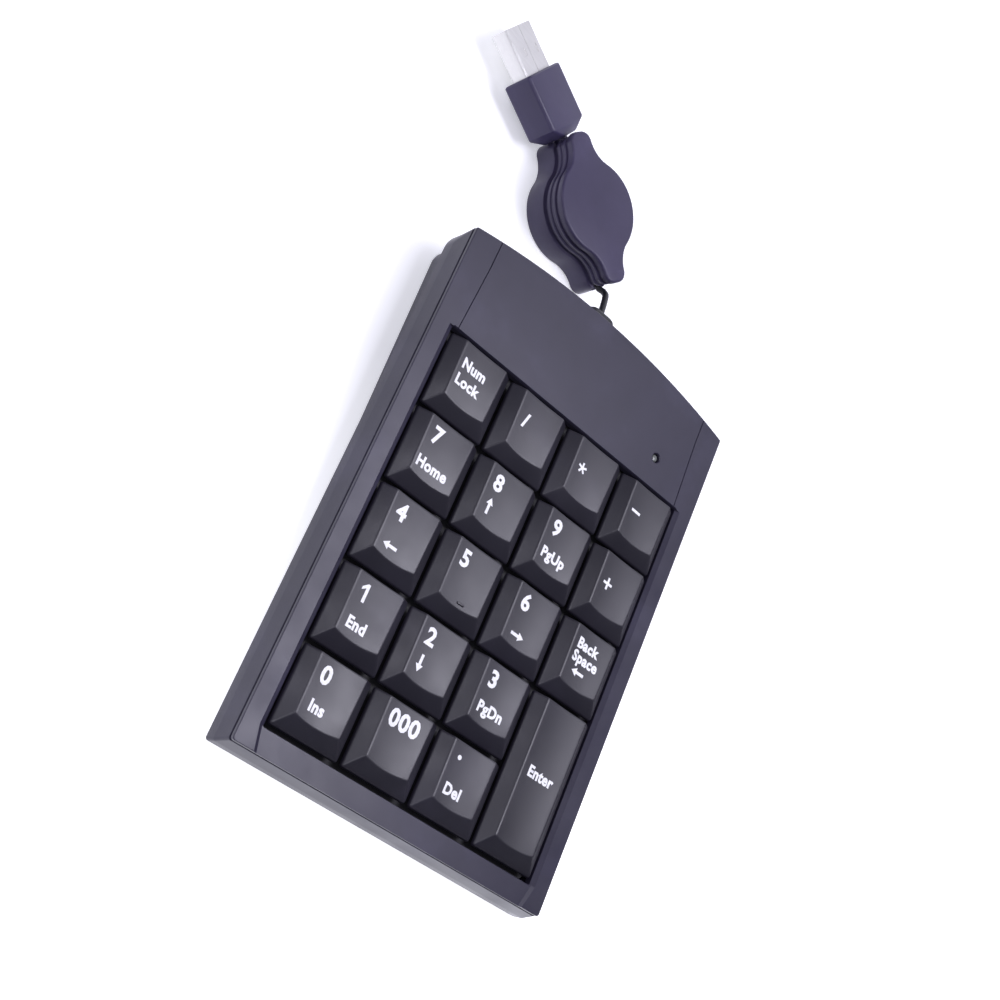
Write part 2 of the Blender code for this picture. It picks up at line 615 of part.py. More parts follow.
def make_reel_shells(reel, material):
    """Two halves that meet in the lower of the two grooves round the side."""
    groove, top = REEL_GROOVE, REEL_HEIGHT
    upper = [reel_ring(groove, 6.9), reel_ring(groove, 9.4), reel_ring(0.2, 9.4), reel_ring(0.2, 10.4),
             reel_ring(groove, 10.4), reel_ring(groove, 11.8), reel_ring(0, 11.8), reel_ring(0, top - 0.3),
             reel_ring(0.3, top)]
    lower = [reel_ring(0.4, 0), reel_ring(0, 0.4), reel_ring(0, 6.0), reel_ring(groove, 6.2),
             reel_ring(groove, 6.6)]
    shell = make_object("reel_upper_shell", *loft(upper), material, reel)
    boolean(shell, "DIFFERENCE", [reel_cavity(5, top - REEL_PLATE)], reel)
    boss = prism(circle(2.4, 12), top - REEL_PLATE - 0.2, top - REEL_PLATE + 0.5)
    boolean(shell, "UNION", [boss], reel)
    boolean(shell, "DIFFERENCE", [prism(circle(AXLE_RADIUS + 0.05, 16), 9, top - 0.6)], reel)
    shell = make_object("reel_lower_shell", *loft(lower), material, reel)
    boolean(shell, "DIFFERENCE", [reel_cavity(REEL_PLATE, 8)], reel)
    boolean(shell, "DIFFERENCE", [prism(circle(AXLE_RADIUS + 0.05, 16), 0.6, 4)], reel)


def make_reel_inside(reel, materials):
    """The axle, the spool that turns on it, the cord wound on the spool and the clock spring."""
    smooth(make_object("reel_axle", *prism(circle(AXLE_RADIUS, 16), 0.9, REEL_HEIGHT - 0.9),
                       materials["steel"], reel))
    low, low_top, high_bottom, high = SPOOL_Z
    bore = AXLE_RADIUS + 0.1
    spool = [(bore, low), (SPOOL_RADIUS, low), (SPOOL_RADIUS, low_top), (SPOOL_HUB, low_top),
             (SPOOL_HUB, high_bottom), (SPOOL_RADIUS, high_bottom), (SPOOL_RADIUS, high), (bore, high)]
    smooth(make_object("reel_spool", *turned(spool, 32), materials["inner"], reel))
    inner, outer, bottom, top = COIL
    coil = [(inner, bottom), (outer, bottom), (outer, top), (inner, top)]
    smooth(make_object("reel_cord_coil", *turned(coil, 32), materials["rubber"], reel))
    make_spring(reel, materials["steel"])


def turned(profile, sides):
    """A ring turned from a closed profile of (radius, height)."""
    rings = [at_height(circle(radius, sides), z) for radius, z in profile]
    return loft(rings, closed=True)


def make_spring(reel, material):
    """A flat strip wound in a spiral round the axle."""
    steps = SPRING_TURNS * 16
    inside, outside = [], []
    for i in range(steps + 1):
        angle = 2 * math.pi * SPRING_TURNS * i / steps
        radius = SPRING_RADII[0] + (SPRING_RADII[1] - SPRING_RADII[0]) * i / steps
        for side, half in ((inside, -SPRING_THICKNESS / 2), (outside, SPRING_THICKNESS / 2)):
            side.append(((radius + half) * math.cos(angle), (radius + half) * math.sin(angle)))
    points = at_height(inside, SPRING_Z[0]) + at_height(outside, SPRING_Z[0])
    points += at_height(inside, SPRING_Z[1]) + at_height(outside, SPRING_Z[1])
    count = steps + 1
    faces = []
    for i in range(steps):
        inner, outer = i, count + i
        faces += [(inner, inner + 1, outer + 1, outer),
                  (inner + 2 * count, outer + 2 * count, outer + 2 * count + 1, inner + 2 * count + 1),
                  (inner, inner + 2 * count, inner + 2 * count + 1, inner + 1),
                  (outer, outer + 1, outer + 2 * count + 1, outer + 2 * count)]
    for end in (0, steps):
        faces.append((end, count + end, 3 * count + end, 2 * count + end))
    make_object("reel_spring", points, faces, material, reel)


def along_x(levels):
    """Rings across the x axis from (x, half width, half height, corner radius) levels."""
    return [[(x, y, z) for y, z in rounded_rectangle(half_y, half_z, radius)]
            for x, half_y, half_z, radius in levels]


def make_plug(plug, materials):
    """The plug's x axis runs to its tip, which is the origin; z is across its flat side."""
    face = -SHELL_LENGTH
    rear = face - GRIP_LENGTH
    grip = [(face, GRIP_HALF[0] - 0.4, GRIP_HALF[1] - 0.4, 1.2), (face - 0.6, *GRIP_HALF, 1.2),
            (rear + 0.5, *GRIP_HALF, 1.2), (rear - 1.9, *GRIP_END_HALF, 1.2),
            (rear - 1.9, *GRIP_NECK_HALF, 1.1), (rear - 3.6, *GRIP_NECK_HALF, 1.1)]
    overmould = make_object("plug_overmould", *loft(along_x(grip)), materials["housing"], plug)
    pocket = [(face + 1, SHELL_HALF[0] + GAP, SHELL_HALF[1] + GAP, 0.6),
              (face - SHELL_SOCKET, SHELL_HALF[0] + GAP, SHELL_HALF[1] + GAP, 0.6)]
    boolean(overmould, "DIFFERENCE", [loft(along_x(pocket))], plug)
    smooth(overmould, 25)
    back = face - SHELL_SOCKET + GAP
    outer = (*SHELL_HALF, 0.5)
    inner = (SHELL_HALF[0] - SHELL_WALL, SHELL_HALF[1] - SHELL_WALL, 0.3)
    rings = along_x([(0, *outer), (back, *outer), (back, *inner), (0, *inner)])
    shell = make_object("plug_shell", *loft(rings, closed=True), materials["steel"], plug)
    windows = [block(-7.6, -5.4, y - 1.2, y + 1.2, -4, 4) for y in (-2.9, 2.9)]
    boolean(shell, "DIFFERENCE", windows, plug)
    smooth(shell, 30)
    tongue = (back + 0.4, -0.7, -5.4, 5.4, -1.65, 0.1)
    make_object("plug_tongue", *block(*tongue), materials["inner"], plug)
    for number, y in enumerate((-3.5, -1.0, 1.0, 3.5), 1):
        make_object(f"plug_contact_{number}", *block(back + 3, -1.6, y - 0.5, y + 0.5, 0.3, 0.5),
                    materials["gold"], plug)
    wire("plug_cord", [(rear - 3.9, 0, 0), (rear - 5.4, 0.3, 0), (rear - 7, 0.75, -0.1)], CORD_RADIUS,
         materials["rubber"], plug)


def build():
    for thing in list(bpy.data.objects):
        bpy.data.objects.remove(thing)
    materials = make_materials()
    deck = make_empty("deck_frame", (0, DECK_SHIFT, DECK_HEIGHT), (DECK_TILT, 0, 0))
    reel = make_empty("reel_frame", (*REEL_PLACE, 0), (0, 0, REEL_ANGLE))
    plug = make_empty("plug_frame", PLUG_TIP, (PLUG_ROLL, 0, PLUG_ANGLE))
    make_top_cover(deck, materials["housing"])
    make_bottom_case(deck, materials["housing"])
    make_feet(materials["rubber"])
    make_keycaps(deck, materials["keycap"])
    make_key_frame(deck, materials["inner"])
    make_dome_sheet(deck, materials["silicone"])
    make_membranes(deck, materials["film"])
    make_electronics(deck, materials)
    make_case_screws(deck, materials["steel"])
    make_enter_stabiliser(deck, materials["steel"])
    make_gland(deck, materials["rubber"])
    make_cord(materials["rubber"])
    make_reel_shells(reel, materials["housing"])
    make_reel_inside(reel, materials)
    make_plug(plug, materials)


build()
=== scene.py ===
"""The looks of a numeric keypad with a cord reel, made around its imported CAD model.

Shapes are in millimetres in the frame of the piece they belong to: the deck's, the reel's or the
plug's. They become metres in the CAD model's frame when their mesh is made.
"""
import json
import math

import bmesh
import bpy
from mathutils import Matrix, Quaternion, Vector


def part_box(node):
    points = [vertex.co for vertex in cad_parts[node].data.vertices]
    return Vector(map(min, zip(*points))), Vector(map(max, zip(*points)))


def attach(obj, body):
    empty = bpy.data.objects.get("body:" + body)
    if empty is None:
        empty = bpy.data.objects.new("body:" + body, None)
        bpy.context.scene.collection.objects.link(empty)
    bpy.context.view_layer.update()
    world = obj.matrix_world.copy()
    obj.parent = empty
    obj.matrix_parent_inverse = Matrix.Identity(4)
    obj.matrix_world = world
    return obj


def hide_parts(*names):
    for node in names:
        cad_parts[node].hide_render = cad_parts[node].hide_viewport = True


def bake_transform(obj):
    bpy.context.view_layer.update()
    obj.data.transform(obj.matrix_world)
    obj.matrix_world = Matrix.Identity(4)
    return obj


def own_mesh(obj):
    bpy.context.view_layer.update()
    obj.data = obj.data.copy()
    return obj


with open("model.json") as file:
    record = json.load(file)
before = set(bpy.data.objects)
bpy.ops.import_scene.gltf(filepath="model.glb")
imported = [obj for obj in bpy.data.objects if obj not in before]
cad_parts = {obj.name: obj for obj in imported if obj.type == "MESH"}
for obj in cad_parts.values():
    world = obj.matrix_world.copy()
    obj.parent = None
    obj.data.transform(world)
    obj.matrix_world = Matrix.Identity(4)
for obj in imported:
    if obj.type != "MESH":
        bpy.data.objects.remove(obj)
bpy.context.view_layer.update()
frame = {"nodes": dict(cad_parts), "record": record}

MM = 0.001
WELD = 0.000001                # points of a mesh this close, in metres, are joined

# The frames that the shapes are drawn in. The deck's origin is the middle of the key field.
TABLE = Matrix.Identity(4)
DECK_TILT = math.radians(3.3)
DECK_HEIGHT = 12.5
DECK = Matrix.Translation((0, -11.57, DECK_HEIGHT)) @ Matrix.Rotation(DECK_TILT, 4, "X")
REEL = Matrix.Translation((-13.3, 91.1, 0)) @ Matrix.Rotation(math.radians(135.5), 4, "Z")
PLUG = (Matrix.Translation((-51.3, 118.3, 6.35)) @ Matrix.Rotation(math.radians(150.3), 4, "Z")
        @ Matrix.Rotation(math.radians(12.8), 4, "X"))

DECK_HALF_WIDTH = 43.5
DECK_FRONT = -53.4
DECK_REAR_CORNER = 71.5
REAR_BOW = 4.3                 # the rear edge bows out by this much
FRONT_CORNER = 0.7
FLARE = 0.9                    # the walls lean out from the deck to the crease
WALL = 1.8
CREASE_Z = -5.2
COVER_BOTTOM_Z = -8.5
RAIL_RISE = 0.4                # the side rails stand above the deck
WELL = (38.3, 48.2)            # half the width and length of the key well
LAMP = (26.7, 55.6)
CASE_CLEARANCE = 0.9           # the underside is this far above the table
CASE_LIP_Z = -6.6

PITCH = 19.05
KEY_BASE = 9.0                 # half a key's width at its foot
KEY_TOP_Z = 2.3
KEY_DISH = 0.3                 # the middle of the top is this much lower than its sides
KEY_LEAN = 2.1                 # the dished front edge comes forward this much for each mm it drops
CAP_EDGE = 0.5                 # width of the rounding along the top's edge
KEY_FRONT_HALF = 6.15
KEY_REAR_HALF = 6.45
STEM = (3.0, 2.25)
STEM_BOTTOM_Z = -3.8
# each key's column, row and number of rows
KEYS = {"num_lock": (0, 0, 1), "divide": (1, 0, 1), "multiply": (2, 0, 1), "minus": (3, 0, 1),
        "7": (0, 1, 1), "8": (1, 1, 1), "9": (2, 1, 1), "plus": (3, 1, 1),
        "4": (0, 2, 1), "5": (1, 2, 1), "6": (2, 2, 1), "backspace": (3, 2, 1),
        "1": (0, 3, 1), "2": (1, 3, 1), "3": (2, 3, 1), "enter": (3, 3, 2),
        "0": (0, 4, 1), "000": (1, 4, 1), "decimal": (2, 4, 1)}

CORD_RADIUS = 0.8
WOUND_RADIUS = CORD_RADIUS - 0.05
GLAND_X = -0.8
GLAND_Z = -5.0
GLAND_HALF = (4.2, 2.2)

REEL_RADIUS = 12.0
REEL_TAB = (3.4, 18.6)         # a tab's half width, and how far it reaches from the reel's middle
REEL_FILLET = 8.0
REEL_CORNER = 2.6
REEL_HEIGHT = 13.1
REEL_CAVITY = (10.3, 2.1)      # radius, and half width in the tabs

SHELL_HALF = (6.0, 2.25)
SHELL_LENGTH = 11.8
GRIP_HALF = (8.0, 4.0)
GRIP_LENGTH = 14.5


# ---- materials ----------------------------------------------------------------------------------

def new_material(name, roughness, metallic=0.0):
    material = bpy.data.materials.new(name)
    material.use_nodes = True
    shader = material.node_tree.nodes["Principled BSDF"]
    shader.inputs["Roughness"].default_value = roughness
    shader.inputs["Metallic"].default_value = metallic
    return material, material.node_tree, shader


def noise(tree, scale, detail=3.0, stretch=(1, 1, 1)):
    """Noise over the object's own space; scale is per metre."""
    place = tree.nodes.new("ShaderNodeTexCoord")
    mapping = tree.nodes.new("ShaderNodeMapping")
    mapping.inputs["Scale"].default_value = stretch
    texture = tree.nodes.new("ShaderNodeTexNoise")
    texture.inputs["Scale"].default_value = scale
    texture.inputs["Detail"].default_value = detail
    tree.links.new(place.outputs["Object"], mapping.inputs["Vector"])
    tree.links.new(mapping.outputs["Vector"], texture.inputs["Vector"])
    return texture.outputs["Fac"]


def ramp(tree, value, stops):
    """The colour that the stops, each a position and a colour, give a value."""
    node = tree.nodes.new("ShaderNodeValToRGB")
    elements = node.color_ramp.elements
    while len(elements) < len(stops):
        elements.new(0.5)
    for element, (position, colour) in zip(elements, stops):
        element.position = position
        element.color = (*colour, 1.0)
    tree.links.new(value, node.inputs["Fac"])
    return node.outputs["Color"]


def map_range(tree, source, target):
    """A node that maps the source range to the target range, each a start and an end."""
    node = tree.nodes.new("ShaderNodeMapRange")
    node.inputs["From Min"].default_value, node.inputs["From Max"].default_value = source
    node.inputs["To Min"].default_value, node.inputs["To Max"].default_value = target
    return node


def set_range(tree, value, low, high, socket):
    """Drives a socket by a noise value, spread from low to high."""
    node = map_range(tree, (0.3, 0.7), (low, high))
    tree.links.new(value, node.inputs["Value"])
    tree.links.new(node.outputs["Result"], socket)


def add_bump(tree, shader, height, depth):
    bump = tree.nodes.new("ShaderNodeBump")
    bump.inputs["Distance"].default_value = depth
    bump.inputs["Strength"].default_value = 1.0
    tree.links.new(height, bump.inputs["Height"])
    tree.links.new(bump.outputs["Normal"], shader.inputs["Normal"])


def scaled(colour, factor):
    return tuple(channel * factor for channel in colour)


def moulded_plastic(name, colour, roughness, gloss=0.5, grain=2600):
    """Moulded plastic: a fine grain, and slow changes of colour and gloss from handling."""
    material, tree, shader = new_material(name, roughness)
    shader.inputs["Specular IOR Level"].default_value = gloss
    tones = [(0.3, scaled(colour, 0.86)), (0.57, scaled(colour, 1.03)), (0.72, scaled(colour, 1.35))]
    tone = ramp(tree, noise(tree, 60, 4), tones)
    tree.links.new(tone, shader.inputs["Base Color"])
    set_range(tree, noise(tree, 110, 5), roughness - 0.05, roughness + 0.06, shader.inputs["Roughness"])
    add_bump(tree, shader, noise(tree, grain, 2), 0.00001)
    return material


def black_rubber(name, colour, roughness):
    material, tree, shader = new_material(name, roughness)
    tone = ramp(tree, noise(tree, 300, 3), [(0.3, scaled(colour, 0.8)), (0.7, scaled(colour, 1.3))])
    tree.links.new(tone, shader.inputs["Base Color"])
    add_bump(tree, shader, noise(tree, 3500, 2), 0.00002)
    return material


def plated_metal(name, colour, roughness, stretch=(1, 1, 1)):
    """Plated sheet metal with fine rolling marks."""
    material, tree, shader = new_material(name, roughness, 1.0)
    marks = noise(tree, 900, 3, stretch)
    tone = ramp(tree, marks, [(0.3, scaled(colour, 0.9)), (0.7, colour)])
    tree.links.new(tone, shader.inputs["Base Color"])
    set_range(tree, marks, roughness - 0.06, roughness + 0.08, shader.inputs["Roughness"])
    return material


def ink(name):
    """White printing, thin in places."""
    material, tree, shader = new_material(name, 0.45)
    tone = ramp(tree, noise(tree, 1500, 3), [(0.3, (0.78, 0.79, 0.82)), (0.6, (0.9, 0.9, 0.92))])
    tree.links.new(tone, shader.inputs["Base Color"])
    return material


def board(name):
    """Green solder mask with a pattern of tracks below it."""
    material, tree, shader = new_material(name, 0.35)
    tones = [(0.45, (0.01, 0.09, 0.03)), (0.55, (0.03, 0.2, 0.08))]
    tone = ramp(tree, noise(tree, 500, 1, (1, 4, 1)), tones)
    tree.links.new(tone, shader.inputs["Base Color"])
    return material


def lamp_lens(name):
    material, tree, shader = new_material(name, 0.15)
    tone = ramp(tree, noise(tree, 800, 1), [(0.3, (0.1, 0.11, 0.1)), (0.7, (0.16, 0.17, 0.16))])
    tree.links.new(tone, shader.inputs["Base Color"])
    return material


def make_materials():
    return {
        "housing": moulded_plastic("housing_plastic", (0.027, 0.0245, 0.045), 0.33, 0.36),
        "case": moulded_plastic("case_plastic", (0.031, 0.028, 0.051), 0.4, 0.42),
        "keycap": moulded_plastic("keycap_plastic", (0.0135, 0.012, 0.0205), 0.4, 0.62, 3200),
        "reel": moulded_plastic("reel_plastic", (0.048, 0.041, 0.083), 0.35, 0.3),
        "plug": moulded_plastic("plug_plastic", (0.045, 0.038, 0.085), 0.35, 0.34),
        "inner": moulded_plastic("inner_plastic", (0.008, 0.008, 0.01), 0.6),
        "silicone": moulded_plastic("dome_silicone", (0.35, 0.35, 0.36), 0.5),
        "film": moulded_plastic("membrane_film", (0.5, 0.55, 0.56), 0.25),
        "white": moulded_plastic("header_plastic", (0.7, 0.7, 0.66), 0.45),
        "board": board("circuit_board"),
        "rubber": black_rubber("foot_rubber", (0.018, 0.018, 0.02), 0.75),
        "cord": black_rubber("cord_jacket", (0.012, 0.012, 0.016), 0.5),
        "steel": plated_metal("plated_steel", (0.75, 0.745, 0.73), 0.36, (0.1, 1, 1)),
        "gold": plated_metal("contact_gold", (0.85, 0.62, 0.25), 0.25),
        "led": lamp_lens("lamp_lens"),
        "ink": ink("legend_ink")}


# ---- meshes -------------------------------------------------------------------------------------

def make_mesh(name, points, faces, matrix):
    mesh = bpy.data.meshes.new(name)
    mesh.from_pydata([(matrix @ Vector(point)) * MM for point in points], [], faces)
    shape = bmesh.new()
    shape.from_mesh(mesh)
    bmesh.ops.remove_doubles(shape, verts=shape.verts, dist=WELD)
    bmesh.ops.recalc_face_normals(shape, faces=shape.faces)
    shape.to_mesh(mesh)
    shape.free()
    return mesh


def link(name, data):
    thing = bpy.data.objects.new(name, data)
    bpy.context.scene.collection.objects.link(thing)
    return thing


def combine(thing, operation, shapes, matrix):
    """Cuts shapes out of a thing, or joins them to it, one after the other."""
    for points, faces in shapes:
        tool = link("tool", make_mesh("tool", points, faces, matrix))
        modifier = thing.modifiers.new("combine", "BOOLEAN")
        modifier.operation = operation
        modifier.solver = "EXACT"
        modifier.object = tool
        settle(thing)
        bpy.data.meshes.remove(tool.data)


def settle(thing):
    """Applies a thing's modifiers."""
    graph = bpy.context.evaluated_depsgraph_get()
    graph.update()
    mesh = bpy.data.meshes.new_from_object(thing.evaluated_get(graph))
    thing.modifiers.clear()
    thing.data = mesh


def finish_piece(thing, material, body, replaces=(), sharp=30):
    """Gives a piece its material, its shading, its body and the nodes that it stands for."""
    thing.data.materials.clear()
    thing.data.materials.append(material)
    if thing.type == "MESH":
        thing.data.shade_smooth()
        thing.data.set_sharp_from_angle(angle=math.radians(sharp))
    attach(thing, body)
    if replaces:
        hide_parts(*replaces)
    return thing


def loft(rings, closed=False):
    """Points and faces of a solid through rings of equally many points. A closed loft joins its last
    ring to its first, and any other has its two ends capped."""
    count = len(rings[0])
    points = [point for ring in rings for point in ring]
    faces = []
    for level in range(len(rings) if closed else len(rings) - 1):
        low = level * count
        high = (level + 1) % len(rings) * count
        for i in range(count):
            j = (i + 1) % count
            faces.append((low + i, low + j, high + j, high + i))
    if not closed:
        faces.append(tuple(reversed(range(count))))
        faces.append(tuple(range(len(points) - count, len(points))))
    return points, faces


def at_height(outline, z):
    return [(x, y, z) for x, y in outline]


def prism(outline, low, high):
    return loft([at_height(outline, low), at_height(outline, high)])


def rectangle(x0, x1, y0, y1):
    return [(x0, y0), (x1, y0), (x1, y1), (x0, y1)]


def block(x0, x1, y0, y1, z0, z1):
    return prism(rectangle(x0, x1, y0, y1), z0, z1)


def arc(centre, radius, start, end, steps):
    angles = [start + (end - start) * i / steps for i in range(steps + 1)]
    return [(centre[0] + radius * math.cos(a), centre[1] + radius * math.sin(a)) for a in angles]


def circle(radius, sides, centre=(0, 0)):
    return arc(centre, radius, 0, 2 * math.pi, sides)[:-1]


def rounded_rectangle(half_x, half_y, radius, steps=6):
    quarter = math.pi / 2
    points = []
    for turn, (sx, sy) in enumerate([(1, 1), (-1, 1), (-1, -1), (1, -1)]):
        centre = (sx * (half_x - radius), sy * (half_y - radius))
        points += arc(centre, radius, turn * quarter, (turn + 1) * quarter, steps)
    return points


def turned(profile, sides):
    return loft([at_height(circle(radius, sides), z) for radius, z in profile], closed=True)


# ---- housing ------------------------------------------------------------------------------------

def body_outline(offset, rear_corner):
    """The housing's plan, moved out by offset: straight front and sides, and a bowed rear edge."""
    half = DECK_HALF_WIDTH + offset
    front = DECK_FRONT - offset
    bow_radius = (half ** 2 + REAR_BOW ** 2) / (2 * REAR_BOW)
    bow_centre = DECK_REAR_CORNER + offset + REAR_BOW - bow_radius
    corner_y = bow_centre + math.sqrt((bow_radius - rear_corner) ** 2 - (half - rear_corner) ** 2)
    turn = math.atan2(corner_y - bow_centre, half - rear_corner)
    quarter = math.pi / 2
    points = arc((-half + FRONT_CORNER, front + FRONT_CORNER), FRONT_CORNER, -2 * quarter, -quarter, 5)
    points += arc((half - FRONT_CORNER, front + FRONT_CORNER), FRONT_CORNER, -quarter, 0, 5)
    points += arc((half - rear_corner, corner_y), rear_corner, 0, turn, 10)
    points += arc((0, bow_centre), bow_radius, turn, math.pi - turn, 40)[1:-1]
    points += arc((-half + rear_corner, corner_y), rear_corner, math.pi - turn, math.pi, 10)
    return points


def underside_z(y, above=0.0):
    """Height of the case's underside in the deck's frame; the underside is level with the table."""
    return (CASE_CLEARANCE + above - DECK_HEIGHT) / math.cos(DECK_TILT) - y * math.tan(DECK_TILT)


def level_ring(outline, above):
    return [(x, y, underside_z(y, above)) for x, y in outline]


def cover_rings():
    """The cover's outside from its lower edge up to the deck, with a groove just below the deck."""
    levels = [(FLARE - 0.3, 6.2, COVER_BOTTOM_Z), (FLARE, 6.4, COVER_BOTTOM_Z + 0.3),
              (FLARE, 6.0, CREASE_Z - 0.15), (FLARE - 0.06, 5.7, CREASE_Z + 0.2),
              (0.14, 1.0, -0.95), (0, 0.9, -0.8), (-0.45, 0.5, -0.8), (-0.45, 0.5, -0.5), (0, 0.5, -0.5),
              (0, 0.5, RAIL_RISE - 0.2), (-0.05, 0.45, RAIL_RISE - 0.06), (-0.16, 0.4, RAIL_RISE)]
    return [at_height(body_outline(offset, corner), z) for offset, corner, z in levels]


def mirrored(right):
    return right + [(-x, y) for x, y in reversed(right)]


def front_channel():
    """Lowers the strip in front of the keys between the side rails, whose ends lean out."""
    rings = []
    for z in (0, 1):
        x = 38.6 + 2.2 * z
        rings.append(at_height(mirrored([(x - 3.2, -60), (x, -WELL[1]), (x, -WELL[1] + 6)]), z))
    return loft(rings)


def rail_slope():
    """Slopes the rails' inner edges down to the keys."""
    rings = []
    for x, z in ((38.2, -0.3), (39.5, 0.4), (40.8, 1.1)):
        rings.append(at_height(rectangle(-x, x, -WELL[1] + 0.1, WELL[1] - 0.1), z))
    return loft(rings)


def panel_seam(side):
    """A fine line from the key well's corner to the rear edge."""
    section = ((-0.15, 0.45), (0.15, 0.45), (0.03, 0.16), (-0.03, 0.16))
    line = ((37.1, 47), (37.05, 49), (36.35, 62.5), (36.2, 66), (36.1, 80))
    return loft([[(side * x + across, y, z) for across, z in section] for x, y in line])


def make_cover(materials):
    """The upper shell with its key well, lamp hole, side rails and fine grooves."""
    cover = link("top_cover_shell", make_mesh("top_cover_shell", *loft(cover_rings()), DECK))
    inside = [at_height(body_outline(offset, corner), z) for offset, corner, z in
              ((FLARE - WALL, 4.7, COVER_BOTTOM_Z - 1), (FLARE - WALL, 4.7, CREASE_Z), (-WALL, 3, -2))]
    well = [at_height(rounded_rectangle(WELL[0] + grow, WELL[1] + grow, 0.4 + grow), z)
            for grow, z in ((0, -3), (0, -0.25), (0.12, -0.05), (0.12, 0.25), (1, 1.13))]
    lamp_hole = [at_height(circle(radius, 32, LAMP), z)
                 for radius, z in ((1.15, -3), (1.15, 0.2), (1.95, 1))]
    cord_slot = block(GLAND_X - 3.3, GLAND_X + 3.3, 68, 84, COVER_BOTTOM_Z - 1, GLAND_Z + 1.7)
    cuts = [loft(inside), front_channel(), loft(well), rail_slope(), loft(lamp_hole), cord_slot,
            panel_seam(-1), panel_seam(1)]
    combine(cover, "DIFFERENCE", cuts, DECK)
    finish_piece(cover, materials["housing"], "case", ["top_cover"], 22)


def node_middle(node):
    """Where a CAD node's middle is on the table, in millimetres."""
    low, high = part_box(node)
    return (low[0] + high[0]) / 2 / MM, (low[1] + high[1]) / 2 / MM


def make_case(materials):
    """The lower shell: rounded below, with recesses for the feet, screws and a plain label."""
    outer = body_outline(-1.2, 5.0)
    inner = body_outline(-2.7, 3.6)
    rings = [level_ring(body_outline(-2.0, 4.4), 0), level_ring(body_outline(-1.6, 4.7), 0.12),
             level_ring(body_outline(-1.3, 4.9), 0.4), level_ring(outer, 0.8),
             at_height(outer, CASE_LIP_Z), at_height(inner, CASE_LIP_Z), level_ring(inner, 1.5)]
    case = link("lower_shell", make_mesh("lower_shell", *loft(rings), DECK))
    cord_slot = block(GLAND_X - 4.5, GLAND_X + 4.5, 69.5, 84, GLAND_Z - 2.5, -5.6)
    combine(case, "DIFFERENCE", [cord_slot], DECK)
    recesses = []
    for node in frame["nodes"]:
        if node.startswith("foot"):
            recesses.append(prism(circle(4.5, 40, node_middle(node)), 0, CASE_CLEARANCE + 0.5))
        if node.startswith("case_screw"):
            head_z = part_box(node)[0][2] / MM
            recesses.append(prism(circle(2.2, 28, node_middle(node)), 0, head_z + 1.2))
    recesses.append(prism(rounded_rectangle(24, 15, 2), 0, CASE_CLEARANCE + 0.2))
    combine(case, "DIFFERENCE", recesses, TABLE)
    finish_piece(case, materials["case"], "case", ["bottom_case"], 30)


def make_feet(materials):
    """Round rubber feet with a rounded edge and a shallow ring."""
    profile = [(0.01, 0.15), (2.4, 0.15), (2.6, 0), (3.7, 0), (4.05, 0.12), (4.2, 0.4), (4.2, 1.15),
               (0.01, 1.15)]
    for node in frame["nodes"]:
        if node.startswith("foot"):
            place = Matrix.Translation((*node_middle(node), 0))
            foot = link(f"rubber_{node}", make_mesh(node, *turned(profile, 40), place))
            finish_piece(foot, materials["rubber"], "case", [node], 40)


# ---- keys ---------------------------------------------------------------------------------------

DISH_STEPS = 14                # flat strips across a key's top
CORNER_STEPS = 4


def dished(x, half, dish):
    """How much lower a dished top is at x than at its sides."""
    return dish * (1 - min(1.0, abs(x) / half) ** 2)


def cap_ring(front_half, rear_half, front, rear, z, corner, dish=0.0, lean=0.0):
    """A level of a keycap, round from its front left corner. The dish lowers the middle, and lean is
    how far the front edge moves forward as it gets lower."""
    quarter = math.pi / 2
    front_x, front_y = front_half - corner, front + corner
    rear_x, rear_y = rear_half - corner, rear - corner
    across = [2 * i / DISH_STEPS - 1 for i in range(DISH_STEPS + 1)]
    front_edge = [(part * front_x, front) for part in across]
    front_edge += arc((front_x, front_y), corner, -quarter, 0, CORNER_STEPS)[1:]
    rear_edge = arc((rear_x, rear_y), corner, 0, quarter, CORNER_STEPS)[:-1]
    rear_edge += [(-part * rear_x, rear) for part in across]
    rear_edge += arc((-rear_x, rear_y), corner, quarter, 2 * quarter, CORNER_STEPS)[1:]
    front_left = arc((-front_x, front_y), corner, 2 * quarter, 3 * quarter, CORNER_STEPS)[:-1]

    def in_front(points):
        return [(x, y - lean * dished(x, front_half, dish), z - dished(x, front_half, dish))
                for x, y in points]

    behind = [(x, y, z - dished(x, rear_half, dish)) for x, y in rear_edge]
    return in_front(front_edge) + behind + in_front(front_left)


